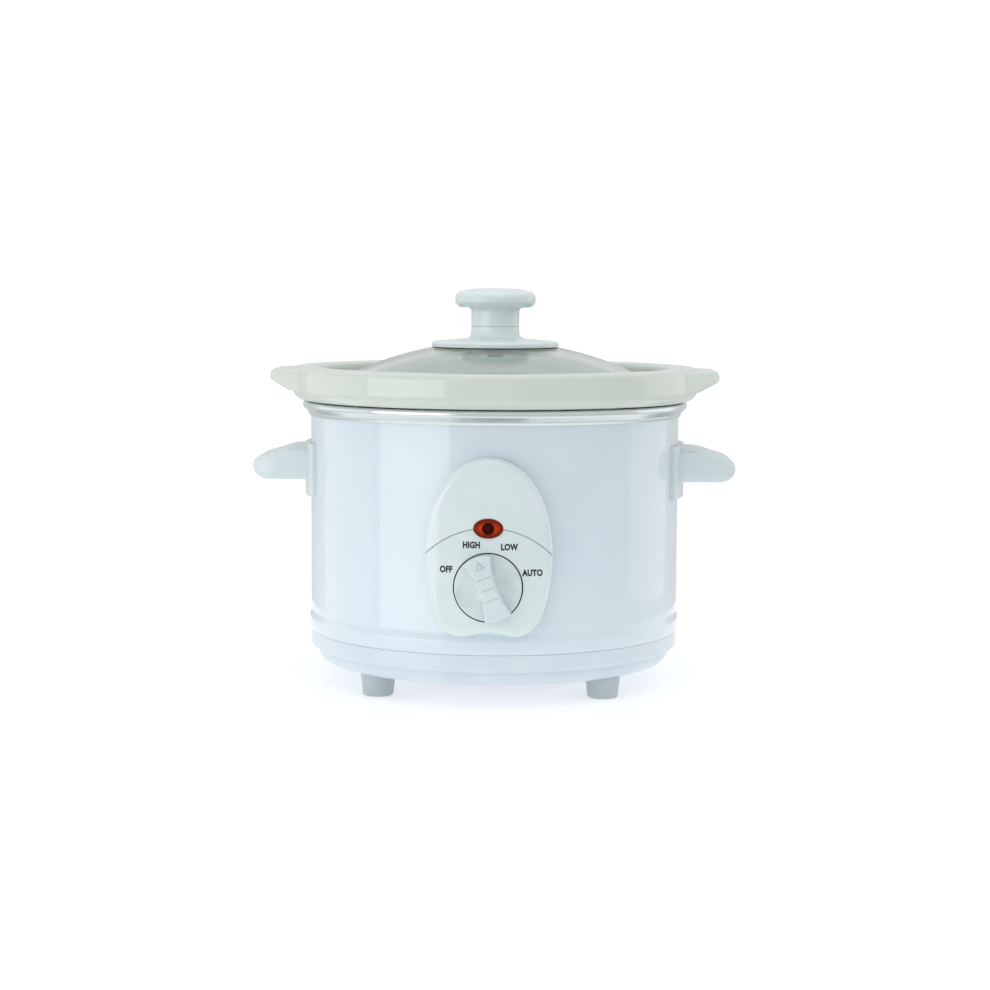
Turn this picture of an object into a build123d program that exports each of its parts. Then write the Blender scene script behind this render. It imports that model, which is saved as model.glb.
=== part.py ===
"""A small round slow cooker: a painted steel body on a plastic base, a stoneware crock and a glass lid.

Millimetres, +Z up. The origin is on the pot's axis, on the surface that the feet stand on. The control
panel faces -Y and the two side handles stand out along X.
"""

from build123d import *
from math import asin, cos, degrees, radians, sin, sqrt
import os

# Body
BODY_R = 93.0
SHELL_T = 0.9
FOOT_H = 10.4
BASE_TOP = 26.2
BEAD_TOP = 36.0
SHELL_TOP = 136.5
RING_LOW = 134.5
RING_TOP = 141.7
RING_R = 97.0
SHELL_IN_R = BODY_R - SHELL_T

# Heating well, the aluminium cup that the crock stands in
WELL_R = 80.0
WELL_T = 0.8
WELL_FLOOR = 40.0
WELL_OUT_R = WELL_R + WELL_T

# Heating band and the screws across its gap
BAND_IN_R = WELL_OUT_R + 0.1
BAND_OUT_R = BAND_IN_R + 2.4
BAND_LOW = 76.0
BAND_HIGH = 112.0
EAR_X = 6.0
EAR_T = 1.2
CLAMP_Y = 87.2

# Heat shield
SHIELD_Z = 29.0
SHIELD_T = 0.6

# Base cover and feet
BASE_T = 2.2
BASE_STEP_R = 89.4
BASE_STEP_Z = 17.4
BASE_CURVE = 6.0
NUT_RECESS_R = 12.0
NUT_RECESS_Z = 16.4
FOOT_CIRCLE_R = 77.5
FOOT_TOP_R = 8.85
FOOT_LOW_R = 7.55

# Crock
RIM_R = 102.4
RIM_TOP = 158.8
RIM_LOW = 142.0
RIM_IN_R = 88.0
LEDGE_Z = 147.0
CROCK_OUT_R = 78.6
CROCK_IN_R = 72.4
CROCK_LOW = 44.0
CROCK_FLOOR = 51.0
LUG_TIP = 112.6
LUG_TOP = 157.6
LUG_LOW = 152.1

# Lid and its knob
DOME_R = 168.0
DOME_TOP = 171.5
GLASS_T = 4.0
DOME_CENTRE = DOME_TOP - DOME_R
LID_R = 85.6
KNOB_FLANGE_R = 32.2
KNOB_STEM_R = 12.2
KNOB_SEAM = 178.9
KNOB_DISC_R = 20.3
KNOB_DISC_LOW = 188.5
KNOB_TOP = 198.2
SEAL_R = 15.0
SEAL_T = 1.2
WASHER_TOP = 167.2
WASHER_T = 1.2

# Side handles
HANDLE_TIP = 121.0
HANDLE_LOW = 102.3
HANDLE_HIGH = 118.4
PLATE_LOW = 94.6
PLATE_HIGH = 120.6
PLATE_R = 95.9
PLATE_HALF_W = 31.0
GRIP_HALF_W = 26.0
HANDLE_SCREW_Z = 106.5
HANDLE_SCREW_ANGLE = degrees(asin(14.0 / BODY_R))

# Control panel
PANEL_FACE = 100.5
PANEL_CROWN_R = 120.0
PANEL_T = 2.3
PANEL_EDGE = 4.0
HOOD_STEP = 0.4
PARTING_R = 40.7
PARTING_Z = 46.8
PARTING_GAP = 0.3
PANEL_SCREWS = {"left": (-16.0, 43.5), "right": (16.0, 43.5), "top": (0.0, 108.0)}

# Indicator lens and lamp
LENS_Z = 87.3
LENS_A = 6.9
LENS_B = 4.6
LAMP_R = 2.7

# Dial, stored pointing at its second mark
DIAL_Z = 59.6
DIAL_R = 15.8
DIAL_GAP = 0.6
DIAL_BACK = 96.4
DIAL_FACE = 101.0
GRIP_TOP = 107.5
GRIP_WAIST = 4.2
GRIP_FLARE = 7.0
DIAL_TURN = 20.0
SHAFT_R = 3.0

# Cord gland
GLAND_Z = 48.0
GLAND_BORE_R = 3.3
GLAND_END = 106.0


# ---------------------------------------------------------------- helpers


def outline(*corners):
    """A closed face from (u, v, radius) corners. A radius of 0 leaves the corner sharp."""
    face = make_face(Polyline(*[(u, v) for u, v, _ in corners], close=True))
    for u, v, radius in corners:
        if radius:
            corner = face.vertices().sort_by_distance((u, v, 0))[0]
            face = fillet(corner, radius)
    return face


def turned(face):
    """A solid of revolution about the pot's axis. The face's u is the radius and its v the height."""
    return revolve(Plane.XZ * face, Axis.Z)


def ring(r_in, r_out, low, high):
    """A plain ring about the pot's axis."""
    return turned(outline((r_in, low, 0), (r_out, low, 0), (r_out, high, 0), (r_in, high, 0)))


def post(radius, low, high, x=0.0, y=0.0):
    """A vertical cylinder between two heights."""
    return Pos(x, y, (low + high) / 2) * Cylinder(radius, high - low)


def forward(radius, near, far, z, x=0.0):
    """A cylinder along the panel's axis, from `near` to `far` mm in front of the pot's axis."""
    return Pos(x, -(near + far) / 2, z) * Rot(90, 0, 0) * Cylinder(radius, far - near)


def outward(radius, near, far, z, angle):
    """A cylinder along a radius of the pot. The angle is about +Z, from +X."""
    along_x = Pos((near + far) / 2, 0, z) * Rot(0, 90, 0) * Cylinder(radius, far - near)
    return Rot(0, 0, angle) * along_x


def front_prism(face, near, far):
    """Extrudes a face drawn in X and Z, from `near` to `far` mm in front of the pot's axis."""
    return Pos(0, -near, 0) * extrude(Plane.XZ * face, far - near, dir=(0, -1, 0))


def hexagon(radius, bore, thickness):
    """A plain hexagonal nut, standing on the XY plane."""
    return extrude(RegularPolygon(radius, 6) - Circle(bore), thickness)


def sphere_cap(radius):
    """A ball about the centre of the lid's dome."""
    return Pos(0, 0, DOME_CENTRE) * Sphere(radius)


# ---------------------------------------------------------------- body


def outer_shell():
    """The rolled steel wall, with a bead pressed round its foot."""
    groove = BODY_R - 0.2
    bead = BODY_R + 0.9
    foot = BODY_R + 0.1
    bead_z = 30.5
    edges = [
        Line((BODY_R, SHELL_TOP), (BODY_R, BEAD_TOP + 0.6)),
        Line((BODY_R, BEAD_TOP + 0.6), (groove, BEAD_TOP)),
        ThreePointArc((groove, BEAD_TOP), (bead, bead_z), (foot, BASE_TOP + 0.1)),
        Line((foot, BASE_TOP + 0.1), (foot - SHELL_T, BASE_TOP + 0.1)),
        ThreePointArc((foot - SHELL_T, BASE_TOP + 0.1), (bead - SHELL_T, bead_z), (groove - SHELL_T, BEAD_TOP)),
        Line((groove - SHELL_T, BEAD_TOP), (SHELL_IN_R, BEAD_TOP + 0.6)),
        Line((SHELL_IN_R, BEAD_TOP + 0.6), (SHELL_IN_R, SHELL_TOP)),
        Line((SHELL_IN_R, SHELL_TOP), (BODY_R, SHELL_TOP)),
    ]
    wall = turned(make_face(edges))
    wall -= forward(4.7, 80, 100, DIAL_Z)
    wall -= forward(4.4, 80, 100, LENS_Z)
    for x, z in PANEL_SCREWS.values():
        wall -= forward(1.7, 80, 100, z, x)
    for side in (0, 180):
        for tilt in (-1, 1):
            wall -= outward(2.3, 85, 100, HANDLE_SCREW_Z, side + tilt * HANDLE_SCREW_ANGLE)
    wall -= forward(6.2, -100, -85, GLAND_Z)
    return wall


def rim_ring():
    """The bright rolled ring that closes the top of the body."""
    skirt = BODY_R + 0.05
    seat = SHELL_TOP + WELL_T + 0.05
    edges = [
        Polyline((skirt, RING_LOW), (93.9, RING_LOW), (94.4, 135.8), (94.1, 136.1), (95.7, 138.0), (95.4, 138.4)),
        ThreePointArc((95.4, 138.4), (RING_R, 139.9), (95.6, RING_TOP)),
        Polyline((95.6, RING_TOP), (87.0, RING_TOP), (85.5, 140.4), (85.5, seat), (skirt, seat), (skirt, RING_LOW)),
    ]
    return turned(make_face(edges))


def heating_well():
    """The spun aluminium cup, hung in the body by its flange."""
    top = SHELL_TOP + WELL_T
    return turned(
        outline(
            (0, WELL_FLOOR, 0),
            (WELL_OUT_R, WELL_FLOOR, 9.0),
            (WELL_OUT_R, SHELL_TOP, 1.0),
            (BODY_R, SHELL_TOP, 0),
            (BODY_R, top, 0),
            (WELL_R, top, 1.8),
            (WELL_R, WELL_FLOOR + WELL_T, 8.2),
            (0, WELL_FLOOR + WELL_T, 0),
        )
    )


def heater_band():
    """The flat heating band. It is open at the back, where a screw draws its two ears together."""
    band = ring(BAND_IN_R, BAND_OUT_R, BAND_LOW, BAND_HIGH)
    band -= Pos(0, BAND_OUT_R, (BAND_LOW + BAND_HIGH) / 2) * Box(2 * EAR_X, 20, BAND_HIGH - BAND_LOW)
    for z in clamp_heights():
        for side in (-1, 1):
            ear = Pos(side * (EAR_X + EAR_T / 2), 86.4, z) * Box(EAR_T, 8.2, 9)
            band += ear - Pos(0, CLAMP_Y, z) * Rot(0, 90, 0) * Cylinder(1.6, 40)
    return band


def clamp_heights():
    return (BAND_LOW + 8, BAND_HIGH - 8)


def clamp_screw(z):
    """One of the two screws across the gap in the heating band."""
    ear_out = EAR_X + EAR_T
    shank = Pos(1.2, 0, 0) * Rot(0, 90, 0) * Cylinder(1.45, 2 * ear_out + 3.6)
    head = Pos(-ear_out - 1.1, 0, 0) * Rot(0, 90, 0) * Cylinder(2.8, 2.2)
    return Pos(0, CLAMP_Y, z) * (shank + head)


def clamp_nut(z):
    return Pos(EAR_X + EAR_T, CLAMP_Y, z) * Rot(0, 90, 0) * hexagon(3.1, 1.5, 2.2)


# ---------------------------------------------------------------- base


def base_outside():
    """The outside of the base cover as one solid, with the moulding's step under its upper band."""
    return turned(
        outline(
            (0, FOOT_H, 0),
            (BASE_STEP_R, FOOT_H, BASE_CURVE),
            (BASE_STEP_R, BASE_STEP_Z, 0),
            (BODY_R, BASE_STEP_Z + 0.6, 2.4),
            (BODY_R, BASE_TOP, 0),
            (0, BASE_TOP, 0),
        )
    )


def foot_places():
    """Each foot's name and centre."""
    reach = FOOT_CIRCLE_R * cos(radians(45))
    return {
        "front_left": (-reach, -reach),
        "front_right": (reach, -reach),
        "back_left": (-reach, reach),
        "back_right": (reach, reach),
    }


def base_cover():
    """The moulded cover, with vents, bosses for the feet and a recess for the centre nut."""
    floor = FOOT_H + BASE_T
    lip_r = BODY_R - 1.5
    cover = base_outside() + ring(lip_r - 2.0, lip_r, BASE_TOP, BASE_TOP + 5)
    cover -= turned(
        outline(
            (0, floor, 0),
            (BASE_STEP_R - BASE_T, floor, BASE_CURVE - BASE_T),
            (BASE_STEP_R - BASE_T, BASE_STEP_Z + 2.4, 0),
            (lip_r - 2.0, BASE_STEP_Z + 4.0, 0),
            (lip_r - 2.0, 60, 0),
            (0, 60, 0),
        )
    )
    cover += post(NUT_RECESS_R + BASE_T, FOOT_H, NUT_RECESS_Z + BASE_T)
    cover -= post(NUT_RECESS_R, FOOT_H - 1, NUT_RECESS_Z)
    cover -= post(2.9, 0, 40)
    for x, y in foot_places().values():
        cover += post(4.0, floor - 0.5, floor + 6, x, y)
        cover -= post(1.6, 0, floor + 5, x, y)
    slot = Pos(36, 0, floor) * extrude(Plane.XY * SlotOverall(20, 3.2), 12, both=True)
    for n in range(12):
        cover -= Rot(0, 0, 30 * n) * slot
    return cover


def foot(x, y):
    """A tapered foot with a screw in a counterbore. Its top follows the cover."""
    profile = outline((0, 0, 0), (FOOT_LOW_R, 0, 2.0), (FOOT_TOP_R, FOOT_H + 3.0, 0), (0, FOOT_H + 3.0, 0))
    body = turned(profile) - post(3.3, -1, 5.0) - post(1.7, 0, 20)
    return Pos(x, y, 0) * body - base_outside()


def foot_screw(x, y):
    head = turned(outline((0, 5.0, 0), (3.0, 5.0, 0), (3.0, 3.0, 0.9), (0, 3.0, 0)))
    slot = Pos(0, 0, 3.0) * (Box(4.2, 0.8, 1.8) + Box(0.8, 4.2, 1.8))
    return Pos(x, y, 0) * (head + post(1.5, 5.0, 16.5) - slot)


def centre_stud():
    """The stud that hangs under the well and pulls the base cover up."""
    return post(8.0, WELL_FLOOR - 1.6, WELL_FLOOR) + post(2.5, 10.8, WELL_FLOOR - 1.6)


def heat_shield():
    """A dished sheet under the well that throws its heat back up."""
    disc = turned(
        outline(
            (3.0, SHIELD_Z, 0),
            (72.0, SHIELD_Z, 2.0),
            (74.0, SHIELD_Z + 4.0, 0),
            (73.4, SHIELD_Z + 4.2, 0),
            (71.5, SHIELD_Z + SHIELD_T, 1.4),
            (3.0, SHIELD_Z + SHIELD_T, 0),
        )
    )
    return disc


def stud_spacer(low, high):
    return ring(2.7, 5.0, low, high)


def base_washer():
    return ring(2.7, 7.5, NUT_RECESS_Z - 1.2, NUT_RECESS_Z)


def base_nut():
    return Pos(0, 0, NUT_RECESS_Z - 1.2 - 4.0) * hexagon(4.9, 2.5, 4.0)


# ---------------------------------------------------------------- side handles


def is_grip_border(edge):
    """True for the edges between the grip's two flanks and its top, tip and underside."""
    run = edge.tangent_at(0.5)
    straight = edge.geom_type == GeomType.LINE
    across = straight and max(abs(run.Y), abs(run.Z)) > 0.9
    return edge.center().X > 85 and abs(edge.center().Y) > 3 and not across


def side_handle():
    """The handle on the +X side: a plate curved round the body with a flat-bottomed grip."""
    height = PLATE_HIGH - PLATE_LOW
    middle = (PLATE_HIGH + PLATE_LOW) / 2
    plate = Pos(0, 0, middle) * Cylinder(PLATE_R, height)
    plate &= Pos(PLATE_R, 0, middle) * Box(40, 2 * PLATE_HALF_W, height)
    edge = plate.edges().filter_by(Axis.Z).group_by(Axis.X)[-1]
    plate = fillet(edge, 2.0)
    under_end = (HANDLE_TIP - 6.9, HANDLE_LOW)
    tip = (HANDLE_TIP, HANDLE_LOW + 6.2)
    top_start = (97.0, HANDLE_HIGH)
    profile = make_face(
        [
            Polyline((80, HANDLE_HIGH), (80, HANDLE_LOW), under_end),
            ThreePointArc(under_end, (HANDLE_TIP - 2.1, HANDLE_LOW + 1.9), tip),
            Spline(tip, (113.9, 115.0), (105.2, 117.6), top_start, tangents=[(0, 1), (-1, 0)]),
            Line(top_start, (80, HANDLE_HIGH)),
        ]
    )
    side = extrude(Plane.XZ * profile, GRIP_HALF_W + 8, both=True)
    plan = outline(
        (80, -GRIP_HALF_W, 0),
        (HANDLE_TIP + 4, -GRIP_HALF_W + 3, 17.0),
        (HANDLE_TIP + 4, GRIP_HALF_W - 3, 17.0),
        (80, GRIP_HALF_W, 0),
    )
    grip = side & extrude(plan, 200)
    grip = fillet(grip.edges().filter_by(is_grip_border), 4.0)
    handle = plate + grip
    finger = outline((100, -19, 3), (114.5, -17, 6), (114.5, 17, 6), (100, 19, 3))
    handle -= Pos(0, 0, HANDLE_LOW - 1) * extrude(finger, 1 + 3.6)
    handle -= Cylinder(BODY_R + 0.05, 400)
    for tilt in (-1, 1):
        handle -= outward(1.7, 90, 104.5, HANDLE_SCREW_Z, tilt * HANDLE_SCREW_ANGLE)
    return handle


def handle_plate():
    """The steel strip inside the wall that spreads the pull of a handle's screws."""
    strip = ring(SHELL_IN_R - 1.25, SHELL_IN_R - 0.05, HANDLE_SCREW_Z - 6, HANDLE_SCREW_Z + 6)
    strip &= Pos(BODY_R, 0, HANDLE_SCREW_Z) * Box(40, 42, 20)
    for tilt in (-1, 1):
        strip -= outward(2.3, 80, 100, HANDLE_SCREW_Z, tilt * HANDLE_SCREW_ANGLE)
    return strip


def handle_screw(tilt):
    """A pan-head screw from inside the wall into the handle."""
    seat = SHELL_IN_R - 1.35
    shank = outward(1.65, seat, 103.5, HANDLE_SCREW_Z, tilt * HANDLE_SCREW_ANGLE)
    return shank + outward(3.6, seat - 2.2, seat, HANDLE_SCREW_Z, tilt * HANDLE_SCREW_ANGLE)


# ---------------------------------------------------------------- control panel


def panel_face(inset=0.0):
    """The egg-shaped outline of the panel, broad low down, with a shallow arch in its bottom edge.

    The inset moves each of the outline's points that far inwards, square to the line between its neighbours.
    """
    line = [(0, 120.0), (15.5, 114.2), (26.2, 98.0), (30.0, 69.0), (26.9, 50.5), (20.6, 38.6), (15.0, 35.9), (0, 37.5)]
    half = [(0, line[0][1] - inset)]
    for before, here, after in zip(line, line[1:], line[2:]):
        run_x = after[0] - before[0]
        run_z = after[1] - before[1]
        step = inset / sqrt(run_x**2 + run_z**2)
        half.append((here[0] + step * run_z, here[1] - step * run_x))
    half.append((0, line[-1][1] + inset))
    right = Spline(*half, tangents=[(1, 0), (-1, 0)], tangent_scalars=[1, 1])
    return make_face([right, mirror(right, Plane.YZ)])


def crowned(face, front):
    """A prism from the wall to a gently crowned front, `front` mm before the pot's axis."""
    body = front_prism(face, 60, front + 5)
    return body & Pos(0, PANEL_CROWN_R - front, 75) * Cylinder(PANEL_CROWN_R, 120)


def panel_body(front):
    """The hollow panel in one piece, with a soft outer edge and a boss for each screw."""
    body = crowned(panel_face(), front)
    body = fillet(body.faces().sort_by(Axis.Y)[0].edges(), PANEL_EDGE)
    body -= crowned(panel_face(PANEL_T), front - PANEL_T)
    for x, z in PANEL_SCREWS.values():
        body += forward(3.6, 80, front - PANEL_T, z, x)
    body -= Cylinder(BODY_R + 0.05, 400)
    for x, z in PANEL_SCREWS.values():
        body -= forward(1.3, 80, front - PANEL_T - 0.6, z, x)
    return body - front_prism(Pos(0, LENS_Z) * Ellipse(LENS_A + 0.1, LENS_B + 0.1), 80, 120)


def parting(radius):
    return forward(radius, 80, 120, PARTING_Z)


def panel_hood():
    """The upper part of the panel, standing a little proud of the lower."""
    return panel_body(PANEL_FACE + HOOD_STEP) - parting(PARTING_R + PARTING_GAP / 2)


def panel_plate():
    """The lower part of the panel, with the round opening for the dial."""
    body = panel_body(PANEL_FACE) & parting(PARTING_R - PARTING_GAP / 2)
    return body - forward(DIAL_R + DIAL_GAP, 80, 120, DIAL_Z)


def panel_screw(x, z):
    """A screw along the panel's axis, its head against the inside of the curved wall."""
    head_r = 2.9
    seat = sqrt(SHELL_IN_R**2 - (abs(x) + head_r) ** 2) - 0.05
    shank = forward(1.25, seat, PANEL_FACE - PANEL_T - 1.6, z, x)
    return shank + forward(head_r, seat - 2.0, seat, z, x)


def indicator_lens():
    """The oval lens, slightly domed, with a socket behind for the lamp."""
    oval = front_prism(Pos(0, LENS_Z) * Ellipse(LENS_A, LENS_B), 96.6, PANEL_FACE + 1.4)
    edge = oval.edges().group_by(Axis.Y)[0]
    return fillet(edge, 1.0) - forward(LAMP_R + 0.1, 90, 99.2, LENS_Z)


def neon_lamp():
    return fillet(forward(LAMP_R, 85.5, 99.0, LENS_Z).edges().group_by(Axis.Y)[0], 1.2)


def lamp_holder():
    """The sleeve that carries the lamp through the wall, with a collar on each side."""
    holder = forward(4.3, 86.5, 96.4, LENS_Z) + forward(6.2, 88.8, 91.6, LENS_Z)
    return holder - forward(LAMP_R + 0.05, 80, 100, LENS_Z)


# ---------------------------------------------------------------- switch and dial


def rotary_switch():
    """The switch inside the wall, its bushing and its four blade terminals."""
    body = Pos(0, -(82.4 + 90.5) / 2, DIAL_Z) * Box(24, 8.1, 24)
    body = fillet(body.edges().filter_by(Axis.Y), 2.0)
    body += forward(4.5, 90.0, 95.8, DIAL_Z)
    for x in (-8, -3, 3, 8):
        body += Pos(x, -86.5, DIAL_Z - 12 - 3.5) * Box(3.4, 0.8, 8)
    return body - forward(SHAFT_R + 0.05, 83.5, 100, DIAL_Z)


def switch_nut():
    nut = Plane.XZ * (RegularPolygon(6.9, 6) - Circle(4.5))
    return Pos(0, -(BODY_R + 0.05), DIAL_Z) * extrude(nut, 2.1)


def switch_shaft():
    return forward(SHAFT_R, 83.8, 99.5, DIAL_Z)


def dial_knob():
    """The dial: a disc with two scooped cheeks and an hourglass grip across it."""
    disc = Circle(DIAL_R)
    knob = Plane.XZ * extrude(disc, DIAL_FACE - DIAL_BACK)
    knob = fillet(knob.edges().group_by(Axis.Y)[0], 0.6)
    scoop_r = 13.0
    for side in (-1, 1):
        knob -= Pos(side * 9.4, -(DIAL_FACE - DIAL_BACK) - scoop_r + 1.7, 0) * Sphere(scoop_r)
    half = [(GRIP_FLARE, DIAL_R), (GRIP_WAIST, 0), (GRIP_FLARE, -DIAL_R)]
    bow = make_face(
        [
            ThreePointArc(*half),
            Line((GRIP_FLARE, -DIAL_R), (-GRIP_FLARE, -DIAL_R)),
            ThreePointArc(*[(-x, z) for x, z in reversed(half)]),
            Line((-GRIP_FLARE, DIAL_R), (GRIP_FLARE, DIAL_R)),
        ]
    )
    grip = Plane.XZ * extrude(bow & disc, GRIP_TOP - DIAL_BACK)
    grip = fillet(grip.edges().group_by(Axis.Y)[0], 1.2)
    crest = -(GRIP_TOP - DIAL_BACK)
    for z in (-5.3, 0.0, 5.3):
        grip -= Pos(0, crest, z) * Box(2 * GRIP_FLARE, 0.7, 0.5)
    pointer = Plane.XZ * extrude(Triangle(a=3.0, b=3.0, c=3.0), 0.35)
    grip += Pos(0, crest + 0.1, 11.0) * pointer
    knob += grip
    knob -= Rot(90, 0, 0) * Cylinder(SHAFT_R + 0.02, 2 * (99.6 - DIAL_BACK))
    return Pos(0, -DIAL_BACK, DIAL_Z) * Rot(0, -DIAL_TURN, 0) * knob


# ---------------------------------------------------------------- wiring pieces in the base


def thermal_cutout():
    """The thermostat that stops the band from overheating, clipped under the well."""
    x, y = 34.0, -26.0
    body = post(8.0, WELL_FLOOR - 5.5, WELL_FLOOR - 0.1, x, y)
    for side in (-1, 1):
        body += Pos(x, y + side * 10, WELL_FLOOR - 3.5) * Box(5, 8, 0.8)
    return body


def terminal_block():
    """A two-way screw connector on the floor of the base."""
    low = FOOT_H + BASE_T
    x, y = -42.0, 30.0
    block = Pos(x, y, low + 5) * Box(22, 14, 10)
    for side in (-1, 1):
        block -= Pos(x + side * 5.5, y, low + 5.5) * Rot(90, 0, 0) * Cylinder(1.7, 20)
        block -= post(1.9, low + 5.5, low + 12, x + side * 5.5, y)
    return block


def terminal_screw(side):
    low = FOOT_H + BASE_T
    return post(1.8, low + 7.3, low + 9.4, -42.0 + side * 5.5, 30.0)


def cord_gland():
    """The bush at the back of the body that a supply cord would pass through."""
    profile = outline(
        (GLAND_BORE_R, 88.6, 0),
        (8.0, 88.6, 1.0),
        (8.0, 91.5, 0),
        (6.1, 91.5, 0),
        (6.1, BODY_R + 0.05, 0),
        (8.6, BODY_R + 0.05, 0),
        (8.6, BODY_R + 2.4, 1.0),
        (6.4, BODY_R + 2.4, 0),
        (4.8, GLAND_END, 0.6),
        (GLAND_BORE_R, GLAND_END, 0),
    )
    return Pos(0, 0, GLAND_Z) * Rot(-90, 0, 0) * turned(profile)


# ---------------------------------------------------------------- crock, lid and knob


def crock():
    """The stoneware crock: a bowl with a heavy rim, a ledge for the lid and a lug on each side."""
    pot = turned(
        outline(
            (0, CROCK_LOW + 1.2, 0),
            (60, CROCK_LOW + 1.2, 0),
            (61.5, CROCK_LOW, 0),
            (CROCK_OUT_R - 1.4, CROCK_LOW, 10.0),
            (CROCK_OUT_R, RIM_LOW, 1.2),
            (RIM_R, RIM_LOW, 6.5),
            (RIM_R, RIM_TOP, 2.8),
            (RIM_IN_R + 0.6, RIM_TOP, 2.8),
            (RIM_IN_R - 0.2, LEDGE_Z, 1.5),
            (CROCK_IN_R, LEDGE_Z, 2.5),
            (CROCK_IN_R - 1.2, CROCK_FLOOR, 14.0),
            (0, CROCK_FLOOR, 0),
        )
    )
    side = outline(
        (94, LUG_TOP, 0),
        (LUG_TIP, LUG_TOP, 0),
        (LUG_TIP, LUG_LOW, 0),
        (101.8, 147.4, 0),
        (94, 147.4, 0),
    )
    plan = outline((94, -38, 0), (LUG_TIP, -16, 12.0), (LUG_TIP, 16, 12.0), (94, 38, 0))
    lug = extrude(Plane.XZ * side, 40, both=True) & extrude(plan, 200)
    lug = fillet(lug.edges().group_by(Axis.Z)[-1].filter_by(lambda e: e.center().X > 96), 2.8)
    under = lug.edges().filter_by(lambda e: 147.5 < e.center().Z <= LUG_LOW and e.center().X > 100)
    lug = fillet(under, 2.2)
    for angle in (0, 180):
        pot += Rot(0, 0, angle) * lug
    return pot


def lid_glass():
    """The domed glass, thicker at its rounded edge, with a hole for the knob's screw."""
    low = LEDGE_Z + 0.3
    dome_end = 79.0
    under_r = DOME_R - GLASS_T
    under_end = 75.5
    hole = 3.2

    def height(radius, r):
        return DOME_CENTRE + sqrt(radius**2 - r**2)

    over = RadiusArc((hole, height(DOME_R, hole)), (dome_end, height(DOME_R, dome_end)), DOME_R)
    under = RadiusArc((under_end, height(under_r, under_end)), (hole, height(under_r, hole)), -under_r)
    edge = [
        Line((dome_end, height(DOME_R, dome_end)), (LID_R - 1.9, low + 3.6)),
        ThreePointArc((LID_R - 1.9, low + 3.6), (LID_R, low + 1.8), (LID_R - 1.9, low)),
        Line((LID_R - 1.9, low), (under_end + 1.6, low)),
        Line((under_end + 1.6, low), (under_end, height(under_r, under_end))),
        Line((hole, height(under_r, hole)), (hole, height(DOME_R, hole))),
    ]
    return turned(make_face([over, *edge, under]))


def knob_seal():
    cap = sphere_cap(DOME_R + SEAL_T) - sphere_cap(DOME_R + 0.03)
    return cap & ring(3.3, SEAL_R, 160, 180)


def knob_base():
    """The knob's flange, which follows the dome, and the foot of its stem."""
    body = turned(
        outline(
            (2.9, 160, 0),
            (KNOB_FLANGE_R, 160, 0),
            (KNOB_FLANGE_R, 171.0, 1.5),
            (26.0, 171.6, 0),
            (KNOB_STEM_R, 173.0, 3.0),
            (KNOB_STEM_R, KNOB_SEAM, 0.3),
            (2.9, KNOB_SEAM, 0),
        )
    )
    body -= sphere_cap(DOME_R + 0.25)
    return body - (sphere_cap(DOME_R + SEAL_T + 0.05) & post(SEAL_R + 0.3, 150, 190))


def knob_cap():
    """The upper stem and the round disc that is lifted by."""
    body = turned(
        outline(
            (0, KNOB_SEAM + 0.05, 0),
            (KNOB_STEM_R, KNOB_SEAM + 0.05, 0.3),
            (KNOB_STEM_R, KNOB_DISC_LOW, 1.6),
            (KNOB_DISC_R, KNOB_DISC_LOW, 4.4),
            (KNOB_DISC_R, KNOB_TOP - 0.5, 4.4),
            (0, KNOB_TOP, 0),
        )
    )
    return body - post(2.5, 170, 191.0)


def knob_washer():
    return ring(2.7, 9.0, WASHER_TOP - WASHER_T, WASHER_TOP)


def knob_screw():
    """The screw that holds the knob, put in from under the glass."""
    seat = WASHER_TOP - WASHER_T
    head = turned(outline((0, seat, 0), (4.6, seat, 0), (4.6, seat - 2.6, 1.6), (0, seat - 2.6, 0)))
    slot = Pos(0, 0, seat - 2.6) * (Box(5.6, 1.0, 2.4) + Box(1.0, 5.6, 2.4))
    return head + post(2.45, seat, 190.0) - slot


# ---------------------------------------------------------------- all sub-parts


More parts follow.
